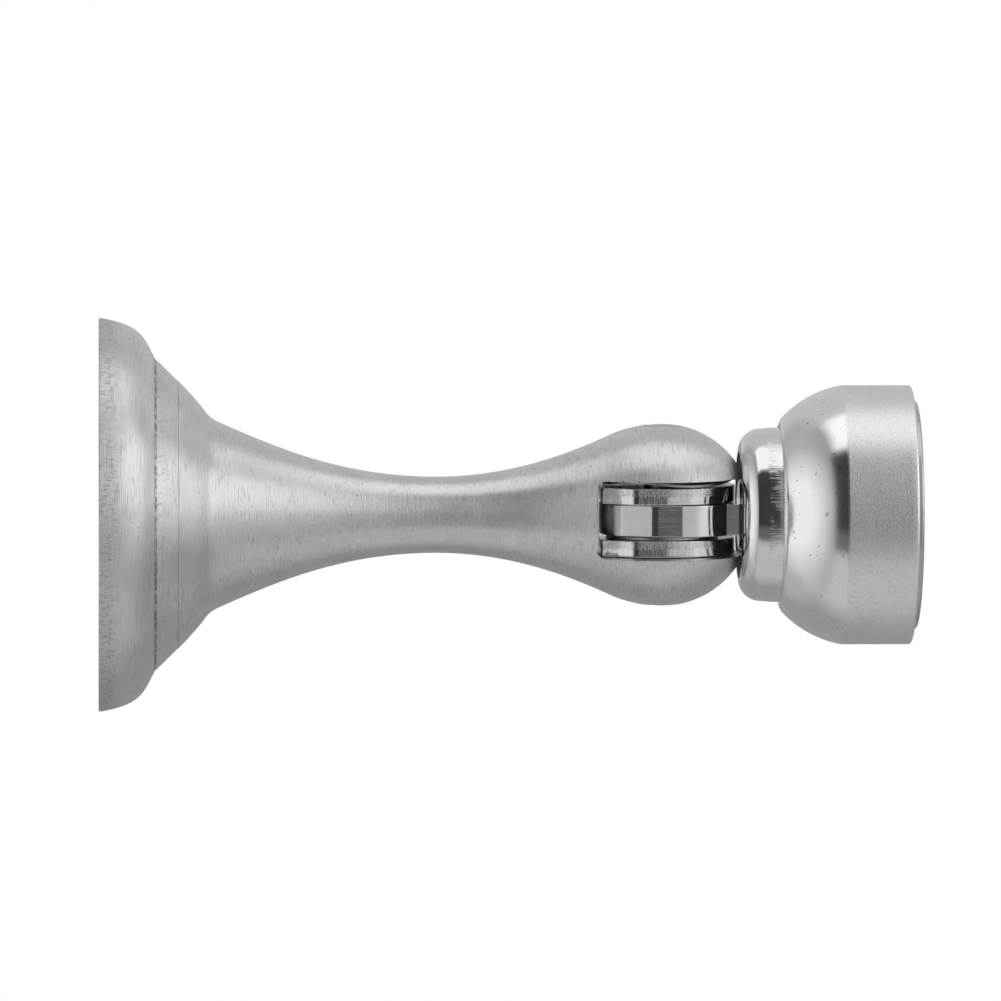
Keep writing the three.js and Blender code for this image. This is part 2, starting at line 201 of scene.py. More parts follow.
def rounded(corners, closed=True, step=0.6):
    """An outline through corners (radius, height, fillet), each turned on its fillet."""
    count = len(corners)
    outline = []
    for i, (r, z, fillet) in enumerate(corners):
        here = Vector((r, z))
        ends = not closed and i in (0, count - 1)
        if fillet <= 0 or ends:
            outline.append([tuple(here)])
            continue
        back = (Vector(corners[i - 1][:2]) - here).normalized()
        on = (Vector(corners[(i + 1) % count][:2]) - here).normalized()
        half = back.angle(on) / 2
        centre = here + (back + on).normalized() * (fillet / math.sin(half))
        start = here + back * (fillet / math.tan(half)) - centre
        turn = math.pi - 2 * half
        side = 1 if back.x * on.y - back.y * on.x < 0 else -1
        steps = max(3, round(math.degrees(turn) / 11))
        bend = []
        for k in range(steps + 1):
            a = side * turn * k / steps
            bend.append(
                (
                    centre.x + start.x * math.cos(a) - start.y * math.sin(a),
                    centre.y + start.x * math.sin(a) + start.y * math.cos(a),
                )
            )
        outline.append(bend)
    points = []
    for i, bend in enumerate(outline):
        points += bend[:-1]
        if i + 1 < count or closed:
            points += line(bend[-1], outline[(i + 1) % count][0], step)
        else:
            points.append(bend[-1])
    return points


def bake(piece):
    """Applies the piece's modifiers to its mesh."""
    graph = bpy.context.evaluated_depsgraph_get()
    mesh = bpy.data.meshes.new_from_object(piece.evaluated_get(graph))
    piece.modifiers.clear()
    piece.data = mesh


def combine(piece, tool, operation="DIFFERENCE"):
    """Cuts the piece with the tool, or joins the tool to it, and drops the tool."""
    change = piece.modifiers.new("combine", "BOOLEAN")
    change.operation = operation
    change.solver = "EXACT"
    change.object = tool
    bake(piece)
    bpy.data.objects.remove(tool)


def soften(piece, width, angle=35, segments=2):
    """Rounds the piece's sharp edges; width in millimetres."""
    bevel = piece.modifiers.new("soften", "BEVEL")
    bevel.width = width * MM
    bevel.segments = segments
    bevel.limit_method = "ANGLE"
    bevel.angle_limit = math.radians(angle)
    bevel.use_clamp_overlap = False
    bevel.miter_outer = "MITER_ARC"
    bake(piece)


def shade(piece, angle=30):
    """Smooth shading with normals weighted by face area; edges over the angle stay sharp."""
    mesh = piece.data
    bm = bmesh.new()
    bm.from_mesh(mesh)
    for edge in bm.edges:
        flat = len(edge.link_faces) == 2 and edge.calc_face_angle(0) < math.radians(angle)
        edge.smooth = flat
    for face in bm.faces:
        face.smooth = True
    bm.to_mesh(mesh)
    bm.free()
    weighted = piece.modifiers.new("weighted", "WEIGHTED_NORMAL")
    weighted.mode = "FACE_AREA"
    weighted.weight = 80
    weighted.keep_sharp = True
    bake(piece)


def prism(name, outline, low, high):
    """A straight body along Z over a flat outline of (x, y)."""
    bm = bmesh.new()
    ends = [[bm.verts.new(Vector((x, y, z)) * MM) for x, y in outline] for z in (low, high)]
    bm.faces.new(ends[0])
    bm.faces.new(list(reversed(ends[1])))
    count = len(outline)
    for i in range(count):
        k = (i + 1) % count
        bm.faces.new((ends[0][i], ends[1][i], ends[1][k], ends[0][k]))
    return piece_from(name, bm)


def slot_cutter(half, low, high, radius, reach):
    """A bar along Y with rounded lower edges, for cutting a slot."""
    outline = [(-half, high)]
    outline += arc((-half + radius, low + radius), radius, 180, 270, 5)
    outline += arc((half - radius, low + radius), radius, 270, 360, 5)
    outline += [(half, high)]
    cutter = prism("slot", outline, -reach, reach)
    cutter.data.transform(Matrix.Rotation(math.pi / 2, 4, "X"))
    return cutter


def polygon(sides, across_flats):
    """The corners of a nut or a key socket."""
    reach = across_flats / 2 / math.cos(math.pi / sides)
    return arc((0, 0), reach, 0, 360, sides)[:-1]


def open_gap(piece, gap, low, high):
    """Cuts a straight opening through a ring, on its +Y side."""
    reach = 20
    corners = [(-gap / 2, 0), (gap / 2, 0), (gap / 2, reach), (-gap / 2, reach)]
    combine(piece, prism("gap", corners, low - 1, high + 1))
    return piece


def thread(radius, low, high, pitch):
    """The zigzag outline of a screw thread, drawn as a row of ridges."""
    outline = []
    for i in range(round((high - low) / pitch)):
        foot = low + i * pitch
        outline += [(radius - 0.55 * pitch, foot + 0.12 * pitch), (radius, foot + 0.5 * pitch)]
    outline.append((radius - 0.55 * pitch, high))
    return outline


def about_pivot(piece):
    """Lays a piece turned about Z along X, at the pivot's height."""
    lay = Matrix.Translation((0, 0, PIVOT_Z * MM)) @ Matrix.Rotation(math.pi / 2, 4, "Y")
    piece.data.transform(lay)
    return piece


# ------------------------------------------------------------------ wall plate and stud

PLATE_HOLES = 3
STUD_R = 3.0


def mounting_plate():
    """A steel disc with countersunk screw holes on a circle."""
    low, high = low_high("mounting_plate", 2)
    radius = low_high("mounting_plate", 0)[1]
    hole_r, sink_r, circle_r = 2.3, 4.3, 12.5
    corners = [(0, low, 0), (radius, low, 0.15), (radius, high, 0.25), (0, high, 0)]
    plate = turned("wall_plate", rounded(corners, closed=False, step=1.2), 192)
    sink = [(0, -1), (hole_r, -1), (hole_r, high - sink_r + hole_r), (sink_r, high)]
    sink += [(sink_r, high + 1), (0, high + 1)]
    for i in range(PLATE_HOLES):
        cutter = turned("hole", sink, 64)
        angle = math.radians(90 + 360 / PLATE_HOLES * i)
        spot = Vector((math.cos(angle), math.sin(angle), 0)) * circle_r
        cutter.data.transform(Matrix.Translation(spot * MM))
        combine(plate, cutter)
    combine(plate, rod(STUD_R + 0.05, -1, high + 1, 64))
    soften(plate, 0.08)
    return plate


def mounting_stud():
    """The threaded stud that the post is screwed on, with a round shoulder over the plate."""
    low, high = low_high("mounting_stud", 2)
    shoulder = low_high("mounting_plate", 2)[1] + 0.05
    collar_r = low_high("mounting_stud", 0)[1]
    outline = [(0, low), (STUD_R - 0.15, low), (STUD_R, low + 0.15), (STUD_R, shoulder)]
    outline += [(collar_r - 0.1, shoulder), (collar_r, shoulder + 0.1), (collar_r, shoulder + 1.5)]
    outline += [(collar_r - 0.1, shoulder + 1.6), (STUD_R, shoulder + 1.6)]
    outline += thread(STUD_R, shoulder + 2, high - 0.8, 1.0)
    outline += [(STUD_R - 0.8, high), (0, high)]
    return turned("plate_stud", outline, 64)


# ------------------------------------------------------------------ base and post


def base_flange():
    """The hollow rosette: a full round bead at the rim, a fine groove, and a cone."""
    bead = bezier((BASE_R, 0.2), (BASE_R - 0.63, 3.7), (19.88, 4.7), (17.6, 5.72), 26)
    groove = [(17.25, 5.93), (17.05, 6.02), (16.98, 5.97)]
    groove += [(16.9, 6.05), (16.78, 6.22), (16.55, 6.46)]
    recess_r = SPIGOT_R + 0.08
    recess_z = SEAM_Z - 1.7
    wall_r = 19.0
    cone = line((16.38, 6.65), (FOOT_R + 0.02, SEAM_Z - 0.02), 0.3)
    inner = rounded(
        [
            (FOOT_R, SEAM_Z, 0.015),
            (recess_r, SEAM_Z, 0.1),
            (recess_r, recess_z, 0.1),
            (13.3, recess_z, 0.8),
            (wall_r, 3.2, 0.8),
            (wall_r, 0, 0.05),
            (BASE_R - 0.1, 0, 0.05),
        ],
        closed=False,
    )
    return turned("rim_flange", bead + groove + cone + inner, closed=True)


def post():
    """Foot, waisted stem and slotted ball, turned from one bar."""
    shoulder = (
        BALL_R - SHOULDER_R * (1 - math.cos(SHOULDER_TURN)),
        PIVOT_Z - SHOULDER_R * math.sin(SHOULDER_TURN),
    )
    before_shoulder = (shoulder[0] - 1.84, shoulder[1] - 4)
    seam = SEAM_Z + SEAM_GAP
    outline = [(0, SPIGOT_Z), *line((0.5, SPIGOT_Z), (SPIGOT_R - 0.2, SPIGOT_Z), 1.5)]
    outline += [(SPIGOT_R - 0.15, SPIGOT_Z), (SPIGOT_R, SPIGOT_Z + 0.15), (SPIGOT_R, seam)]
    outline += line((SPIGOT_R + 0.1, seam), (FOOT_R - 0.05, seam), 0.8)
    outline += [(FOOT_R - 0.04, seam)]
    outline += bezier((FOOT_R, SEAM_Z + 0.06), (13.3, 9.8), (12.0, 10.95), (11.35, 11.4), 22)
    outline += bezier((11.27, 11.46), (10.75, 11.84), (10.42, 12.2), (10.12, 12.82), 12)
    outline += bezier((10.07, 12.92), (7.22, 19.36), (WAIST[0], 26.5), WAIST, 84)
    outline += bezier(WAIST, (WAIST[0], 45), before_shoulder, shoulder, 64)[1:]
    ridge = (BALL_R - SHOULDER_R, PIVOT_Z)
    outline += arc(ridge, SHOULDER_R, -math.degrees(SHOULDER_TURN), 0, 20)[1:]
    outline += arc((0, PIVOT_Z), BALL_R, 0, 90, 56)[1:]
    body = turned("stem_and_ball", outline)
    bore = turned("bore", [(0, 0), (BORE_R, 0), (BORE_R, BORE_TOP - 2), (0, BORE_TOP)], 48)
    combine(body, bore)
    combine(body, slot_cutter(SLOT_HALF, SLOT_FLOOR, PIVOT_Z + 20, 0.7, 20))
    combine(body, about_pivot(rod(PIN_HOLE_R, -20, 20, 96)))
    soften(body, 0.06, 50)
    return body


def pivot_pin():
    """The cross pin; its ends are ground to the ball."""
    reach = BALL_R - 0.03
    edge = math.degrees(math.asin(PIN_R * 0.93 / reach))
    dome = arc((0, 0), reach, 90, 90 - edge, 6)
    side = dome[-1][1] - 0.2
    upper = dome + [(PIN_R, side + 0.08)]
    outline = upper + line((PIN_R, side), (PIN_R, -side), 1.0)
    outline += [(x, -z) for x, z in reversed(upper)]
    return about_pivot(turned("cross_pin", outline, 96))


# ------------------------------------------------------------------ joint leaves


def leaf_outline(radius, low, high, neck):
    """Side view of the tongue in (Y, height over the pivot): round shoulders under the neck,
    straight sides, sides drawn in below the pivot, and a round end."""
    half, top = neck
    turn = math.degrees(math.acos(half / radius))
    root = high + math.sqrt(radius**2 - half**2)
    end = arc((0, 0), 6.9, 236, 304, 40)
    tip = (-4.9, -4.7)
    outline = arc((0, high), radius, 0, turn, 14)
    outline += line((half, root + 0.2), (half, top), 0.4)
    outline += line((half, top), (-half, top), 0.8)
    outline += line((-half, top), (-half, root + 0.1), 0.4)
    outline += arc((0, high), radius, 180 - turn, 180, 14)
    outline += line((-radius, high - 0.2), (-radius, low), 0.4)
    side = line((-radius, low), tip, 0.4) + bezier(tip, (-4.65, -5.4), (-4.2, -5.49), end[0], 8)
    outline += side
    outline += end[1:-1]
    outline += [(-y, z) for y, z in reversed(side)][:-1]
    outline += line((radius, low), (radius, high - 0.1), 0.4)
    return outline


def shield_outline(radius, low, top, foot_half, foot):
    """Side view of a friction disc: long round head, short straight sides, and sides drawn in
    to a flat foot."""
    head = 0.4
    corner = 0.7
    outline = [(radius * y, head + (top - head) * z) for y, z in arc((0, 0), 1, 0, 180, 50)]
    half = line((-radius, head - 0.3), (-radius, low), 0.4)
    half += line((-radius, low), (-foot_half, foot + corner), 0.4)
    half += arc((-foot_half + corner, foot + corner), corner, 180, 270, 6)
    half += line((-foot_half + corner + 0.4, foot), (-0.3, foot), 0.5)
    outline += half
    outline += [(-y, z) for y, z in reversed(half)]
    return outline


def leaf(name, outline, low_x, high_x, hole, fillet):
    """A plate across X, of an outline in (Y, height over the pivot), with a round hole on the
    pivot and rounded edges."""
    count = len(outline)
    rows = []
    for i, (y, z) in enumerate(outline):
        before, after = Vector(outline[i - 1]), Vector(outline[(i + 1) % count])
        along = (after - before).normalized()
        normal = Vector((along.y, -along.x))
        if normal.dot(Vector((y, z))) < 0:
            normal = -normal
        edge = Vector((y, z))
        rim = edge.normalized() * hole
        section = []
        for share in (0, 0.33, 0.66):
            inner = rim + (edge - normal * fillet - rim) * share
            section.append((low_x, inner.x, inner.y))
        for k in range(5):
            a = math.pi / 2 * k / 4
            p = edge - normal * fillet * (1 - math.sin(a))
            section.append((low_x + fillet * (1 - math.cos(a)), p.x, p.y))
        other = [(low_x + high_x - x, py, pz) for x, py, pz in reversed(section)]
        rows.append([(x, py, pz + PIVOT_Z) for x, py, pz in section + other])
    return skin(name, rows, True)


LEAF_R = 6.2
LEAF_LOW = -1.1
LEAF_TOP = 2.0
LEAF_X = (low_high("friction_disc_left", 0)[1] + 0.05, low_high("thrust_washer", 0)[0] - 0.05)
DISC_TOP = 7.9
LEAF_FILLET = 0.14


def swivel_tongue():
    """The middle leaf, with the neck and the shank that carry the collar."""
    outline = leaf_outline(LEAF_R, LEAF_LOW, LEAF_TOP, (NECK_R, COLLAR_Z - PIVOT_Z + 0.6))
    plate = leaf("polished_leaf", outline, *LEAF_X, LEAF_HOLE_R, LEAF_FILLET)
    foot = COLLAR_Z - 0.05
    shoulder = NECK_SEAT_Z - 0.06
    top = COLLAR_FLOOR_Z + 4.2
    corners = [
        (0, foot, 0),
        (NECK_R - 0.02, foot, 0.4),
        (NECK_R - 0.02, shoulder, 0.1),
        (SHANK_R, shoulder, 0.05),
        (SHANK_R, top, 0.5),
        (0, top, 0),
    ]
    combine(plate, turned("neck", rounded(corners, closed=False), 96), "UNION")
    return plate


def friction_disc(name, low_x, high_x):
    """A thick disc beside the tongue; its flat foot keeps it from turning in the slot."""
    outline = shield_outline(LEAF_R, -3.2, DISC_TOP, 4.8, -6.8)
    return leaf(name, outline, low_x, high_x, LEAF_HOLE_R, LEAF_FILLET)


def wave_washer():
    """A thin ring bent into three waves, so that it loads the stack like a spring. It is longer
    towards the head, where it fills the gap beside the disc."""
    low, high = low_high("wave_washer", 0)
    radius = low_high("wave_washer", 1)[1] + 0.4
    inner, half, waves = 2.3, 0.15, 3
    longer = 0.17
    swing = (high - low) / 2 - half
    corners = [(inner, -half, 0.04), (radius, -half, 0.05), (radius, half, 0.05), (inner, half, 0.04)]
    section = rounded(corners, step=0.5)
    rows = []
    for i in range(144):
        angle = 2 * math.pi * i / 144
        lift = swing * math.cos(waves * angle)
        stretch = 1 + longer * max(0, -math.cos(angle)) ** 2
        row = []
        for r, z in section:
            reach = r if r < radius / 2 else r * stretch
            row.append((reach * math.cos(angle), reach * math.sin(angle), z + lift))
        rows.append(row)
    ring = about_pivot(skin("wave_spring", rows, True))
    ring.data.transform(Matrix.Translation(((low + high) / 2 * MM, 0, 0)))
    return ring


def thrust_washer():
    """The thin washer between the tongue and the other disc."""
    low, high = low_high("thrust_washer", 0)
    radius = low_high("thrust_washer", 1)[1]
    return about_pivot(washer("slip_washer", 2.15, radius, low, high, (0.04, 0.06), 144))


# ------------------------------------------------------------------ head


def collar():
    """The polished sleeve: a dish round the ball, a round edge, a groove for the stop ring, and
    a seat for the nut inside."""
    dish_edge = 6.8
    dish_r = math.hypot(COLLAR_Z - PIVOT_Z, dish_edge)
    seat_r = NECK_R + 0.08
    start = math.degrees(math.acos(seat_r / dish_r))
    end = math.degrees(math.acos(dish_edge / dish_r))
    edge_r = 2.3
    groove_r, groove_low, groove_high = 8.75, 75.85, 76.85
    well_r = 7.4
    bore_r = SHANK_R + 0.05
    outline = arc((0, PIVOT_Z), dish_r, start, end, 14)
    outline += [(dish_edge + 0.06, COLLAR_Z), (dish_edge + 0.15, COLLAR_Z)]
    outline += arc((COLLAR_R - 0.1 - edge_r, COLLAR_Z + edge_r), edge_r, -90, 0, 20)
    rest = rounded(
        [
            (COLLAR_R - 0.1, COLLAR_Z + edge_r, 0),
            (COLLAR_R, COLLAR_Z + edge_r + 1.3, 0),
            (COLLAR_R, groove_low, 0.05),
            (groove_r, groove_low, 0.05),
            (groove_r, groove_high, 0.05),
            (COLLAR_R, groove_high, 0.05),
            (COLLAR_R, COLLAR_END, 0.15),
            (well_r, COLLAR_END, 0.15),
            (well_r, COLLAR_FLOOR_Z, 0.2),
            (bore_r, COLLAR_FLOOR_Z, 0.05),
            (bore_r, NECK_SEAT_Z, 0.05),
            (seat_r, NECK_SEAT_Z, 0.05),
            (seat_r, PIVOT_Z + math.sqrt(dish_r**2 - seat_r**2), 0),
        ],
        closed=False,
        step=0.5,
    )
    return turned("dished_collar", outline + rest[1:-1], closed=True)


def head_cup():
    """The cup: a lip round the collar, a round shoulder, a straight side, and inside it the
    spring chamber, the magnet's bore and the circlip's groove."""
    mouth_r = COLLAR_R + 0.08
    lip_r = 0.24
    shoulder_r = 11.6
    low, high = 47, 11  # degrees below level, seen from the shoulder's centre
    reach = shoulder_r * math.cos(math.radians(high))
    drop = shoulder_r * math.sin(math.radians(high))
    magnet_r, magnet_seat = 12.52, 81.6
    groove_r, groove_low, groove_high = 13.15, 83.2, 84.2
    chamber_r, chamber_floor = 11, 75.8
    side_z = KINK_Z + 0.3
    outline = arc((mouth_r + 0.28, MOUTH_Z + lip_r), lip_r, 180, 300, 8)
    outline += arc((CUP_R - 0.03 - reach, KINK_Z + drop), shoulder_r, -low, -high, 44)
    past_kink = [(CUP_R - 0.012, KINK_Z + 0.08), (CUP_R, KINK_Z + 0.15), (CUP_R, KINK_Z + 0.2)]
    outline += bezier(*past_kink, (CUP_R, side_z), 4)
    rest = rounded(
        [
            (CUP_R, side_z, 0),
            (CUP_R, RIM_Z, 0.3),
            (magnet_r, RIM_Z, 0.12),
            (magnet_r, groove_high, 0.04),
            (groove_r, groove_high, 0.04),
            (groove_r, groove_low, 0.04),
            (magnet_r, groove_low, 0.04),
            (magnet_r, magnet_seat, 0.04),
            (chamber_r, magnet_seat, 0.1),
            (chamber_r, chamber_floor, 0.3),
            (mouth_r, chamber_floor, 0.06),
            (mouth_r, MOUTH_Z + 0.3, 0),
        ],
        closed=False,
        step=0.5,
    )
    return turned("buffer_cup", outline + rest[1:], closed=True)


def magnet_pot():
    """The steel pot, with a countersunk post for its screw in the middle."""
    floor_z = POT_Z + 1.5
    seat_top = TOP_Z - 0.45
    wall_r = POT_R - 1.8
    hole_r = 2.05
    post_r = 4.0
    sink_r = post_r - 0.22
    corners = [
        (hole_r, POT_Z, 0.05),
        (POT_R, POT_Z, 0.2),
        (POT_R, TOP_Z, 0.25),
        (wall_r, TOP_Z, 0.12),
        (wall_r, floor_z, 0.1),
        (post_r, floor_z, 0.1),
        (post_r, seat_top, 0.08),
        (sink_r, seat_top, 0.04),
        (hole_r, seat_top - 1.72, 0.04),
    ]
    return turned("pot_shell", rounded(corners, step=0.4), closed=True)


def ring_magnet():
    """The magnet in the pot."""
    low, high = low_high("ring_magnet", 2)
    return washer("magnet_ring", 4.3, 10.3, low, high, (0.15, 0.15), step=0.4)


# ------------------------------------------------------------------ inside the head


def lock_washer():
    """A split spring washer."""
    low, high = low_high("lock_washer", 2)
    radius = low_high("lock_washer", 0)[1]
    ring = washer("split_washer", SHANK_R + 0.15, radius, low, high, (0.06, 0.1), 96)
    return open_gap(ring, 0.5, low, high)


def collar_nut():
    """A hexagon nut with turned corners."""
    low, high = low_high("collar_nut", 2)
    across = 8.0
    nut = prism("hex_nut", polygon(6, across), low, high)
    reach = across / 2 / math.cos(math.pi / 6)
    face_r = reach - 0.55
    barrel = [(0, low), (face_r, low), (reach, low + 0.32)]
    barrel += [(reach, high - 0.32), (face_r, high), (0, high)]
    combine(nut, turned("chamfers", barrel, 96), "INTERSECT")
    combine(nut, rod(SHANK_R + 0.05, low - 1, high + 1, 96))
    soften(nut, 0.06)
    return nut


def slide_stop_ring():
    """The open ring in the collar's groove."""
    low, high = low_high("slide_stop_ring", 2)
    radius = low_high("slide_stop_ring", 0)[1]
    ring = washer("stop_ring", 8.8, radius, low, high, (0.08, 0.1), 192)
    return open_gap(ring, 2.5, low, high)


def buffer_spring():
    """A coiled wire with its ends closed by small domes."""
    wire_r, turns, coil_r, clear = 0.55, 4.5, 6.3, 0.6
    low = low_high("lock_washer", 2)[0] + clear - 0.05
    high = low_high("thrust_plate", 2)[0] - 0.05 - clear
    steps = 240
    sides = 16
    rise = (high - low) / (2 * math.pi * turns)
    bm = bmesh.new()
    rings = []
    for i in range(-2, steps + 3):
        t = min(max(i, 0), steps) / steps
        angle = 2 * math.pi * turns * t
        out = Vector((math.cos(angle), math.sin(angle), 0))
        centre = out * coil_r + Vector((0, 0, low + (high - low) * t))
        along = Vector((-coil_r * out.y, coil_r * out.x, rise)).normalized()
        across = along.cross(out)
        past = i if i < 0 else max(i - steps, 0)
        size = wire_r * math.cos(abs(past) * math.pi / 5.5)
        centre += along * wire_r * 0.5 * math.sin(past * math.pi / 5.5)
        ring = []
        for k in range(sides):
            a = 2 * math.pi * k / sides
            toward = out * math.cos(a) + across * math.sin(a)
            ring.append(bm.verts.new((centre + toward * size) * MM))
        rings.append(ring)
    for before, after in zip(rings, rings[1:]):
        for k in range(sides):
            m = (k + 1) % sides
            bm.faces.new((before[k], before[m], after[m], after[k]))
    bm.faces.new(list(reversed(rings[0])))
    bm.faces.new(rings[-1])
    return piece_from("coil_spring", bm)


def squeeze_spring(piece):
    """Gives the spring a mesh of its own; it does not shorten the spring."""
    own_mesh(piece)


def thrust_plate():
    """The disc that closes the spring chamber and takes the magnet's screw."""
    low, high = low_high("thrust_plate", 2)
    radius = low_high("thrust_plate", 0)[1]
    return washer("closing_plate", 2.05, radius, low, high, (0.2, 0.15), 192, step=1.0)


def retaining_ring():
    """A flat circlip with a plier hole in each end."""
    low, high = low_high("retaining_ring", 2)
    radius = low_high("retaining_ring", 0)[1]
    inner = 11.2
    ring = washer("circlip", inner, radius, low, high, (0.08, 0.08), 192)
    open_gap(ring, 5.0, low, high)
    middle = (inner + radius) / 2
    aside = 3.7
    for side in (-1, 1):
        hole = rod(0.5, low - 1, high + 1, 32)
        spot = Vector((side * aside, math.sqrt(middle**2 - aside**2), 0))
        hole.data.transform(Matrix.Translation(spot * MM))
        combine(ring, hole)
    return ring


def magnet_screw():
    """A countersunk socket screw."""
    low, high = low_high("magnet_screw", 2)
    head_r = low_high("magnet_screw", 0)[1]
    shank_r = 2.0
    neck = high - (head_r - shank_r)
    outline = [(0, low), (shank_r - 0.5, low)]
    outline += thread(shank_r, low + 0.5, neck - 1.4, 0.7)
    outline += [(shank_r, neck - 1.2), (shank_r, neck)]
    outline += line((shank_r, neck), (head_r - 0.03, high - 0.06), 0.3)[1:]
    outline += [(head_r - 0.03, high - 0.04), (head_r - 0.1, high)]
    outline += [*line((head_r - 0.4, high), (0.2, high), 0.5), (0, high)]
    screw = turned("socket_screw", outline, 96)
    combine(screw, prism("socket", polygon(6, 2.5), high - 1.5, high + 1))
    soften(screw, 0.05)
    return screw


# ------------------------------------------------------------------ materials


class Nodes:
    """A short way to write the node tree of a material or of the world. Lengths are in metres."""

    def __init__(self, name=None, world=None):
        self.material = world or bpy.data.materials.new(name)
        self.material.use_nodes = True
        self.tree = self.material.node_tree
        self.shader = self.tree.nodes["Background" if world else "Principled BSDF"]

    def add(self, kind, **settings):
        node = self.tree.nodes.new("ShaderNode" + kind)
        for key, value in settings.items():
            setattr(node, key, value)
        return node

    def link(self, out, into):
        self.tree.links.new(out, into)

    def math(self, operation, a, b=0.0):
        node = self.add("Math", operation=operation)
        self.feed(node.inputs, (a, b))
        return node.outputs[0]

    def range(self, value, low, high, to_low, to_high):
        node = self.add("MapRange", clamp=True)
        self.link(value, node.inputs["Value"])
        names = ("From Min", "From Max", "To Min", "To Max")
        for name, number in zip(names, (low, high, to_low, to_high)):
            node.inputs[name].default_value = number
        return node.outputs["Result"]

    def band(self, value, low, full, end, high):
        """1 from full to end, 0 below low and above high."""
        rise = self.range(value, low, full, 0, 1)
        fall = self.range(value, end, high, 1, 0)
        return self.math("MULTIPLY", rise, fall)

    def without(self, value):
        return self.math("SUBTRACT", 1.0, value)

    def middle(self, a, b):
        return self.math("ADD", self.math("MULTIPLY", a, 0.5), self.math("MULTIPLY", b, 0.5))

    def noise(self, vector, scale, detail=3.0, roughness=0.55):
        node = self.add("TexNoise")
        self.link(vector, node.inputs["Vector"])
        node.inputs["Scale"].default_value = scale
        node.inputs["Detail"].default_value = detail
        node.inputs["Roughness"].default_value = roughness
        return node.outputs["Fac"]

    def point(self):
        return self.add("TexCoord").outputs["Object"]

    def feed(self, sockets, values):
        """Gives each socket a number or another node's output."""
        for socket, value in zip(sockets, values):
            if isinstance(value, (int, float)):
                socket.default_value = value
            else:
                self.link(value, socket)

    def combine(self, x, y, z):
        node = self.add("CombineXYZ")
        self.feed(node.inputs, (x, y, z))
        return node.outputs[0]

    def split(self, vector):
        node = self.add("SeparateXYZ")
        self.link(vector, node.inputs[0])
        return node.outputs

    def drawn(self, across, along):
        """Coordinates for marks drawn along Z: fast across it and slow along it, per metre."""
        x, y, z = self.split(self.point())
        parts = ((x, across), (y, across), (z, along))
        return self.combine(*(self.math("MULTIPLY", value, times) for value, times in parts))

    def from_axis(self, x, y):
        """Distance from the Z axis."""
        squares = self.math("ADD", self.math("MULTIPLY", x, x), self.math("MULTIPLY", y, y))
        return self.math("SQRT", squares)

    def round_axis(self, along, pitch):
        """Coordinates for marks that run round Z: slow round the axis, fast along it.
        along: marks per radian; pitch: the spacing of the marks."""
        x, y, z = self.split(self.point())
        radius = self.from_axis(x, y)
        safe = self.math("MAXIMUM", radius, 1e-5)
        cosine = self.math("MULTIPLY", self.math("DIVIDE", x, safe), along)
        sine = self.math("MULTIPLY", self.math("DIVIDE", y, safe), along)
        along_wall = self.math("SUBTRACT", z, self.math("MULTIPLY", radius, 0.7))
        height = self.math("DIVIDE", along_wall, pitch)
        return self.combine(cosine, sine, height)

    def colour(self, factor, dark, light):
        node = self.add("Mix", data_type="RGBA")
        self.link(factor, node.inputs["Factor"])
        node.inputs["A"].default_value = (*dark, 1)
        node.inputs["B"].default_value = (*light, 1)
        return node.outputs["Result"]

    def over_colour(self, under, factor, paint):
        """Lays a plain colour over a colour socket where factor is high."""
        node = self.add("Mix", data_type="RGBA")
        self.link(factor, node.inputs["Factor"])
        self.link(under, node.inputs["A"])
        node.inputs["B"].default_value = (*paint, 1)
        return node.outputs["Result"]

    def bump(self, height, distance, under=None):
        node = self.add("Bump")
        node.inputs["Strength"].default_value = 1.0
        node.inputs["Distance"].default_value = distance
        self.link(height, node.inputs["Height"])
        if under is not None:
            self.link(under, node.inputs["Normal"])
        return node.outputs["Normal"]

    def metal(self, anisotropic=0.0):
        self.shader.inputs["Metallic"].default_value = 1.0
        self.shader.inputs["Anisotropic"].default_value = anisotropic
        if anisotropic:
            tangent = self.add("Tangent", direction_type="RADIAL", axis="Z")
            self.link(tangent.outputs[0], self.shader.inputs["Tangent"])
            self.shader.inputs["Anisotropic Rotation"].default_value = 0.25

    def set(self, name, out):
        self.link(out, self.shader.inputs[name])


def grey(value):
    """A nearly neutral grey, a touch warm."""
    return (value, value, value * 0.996)


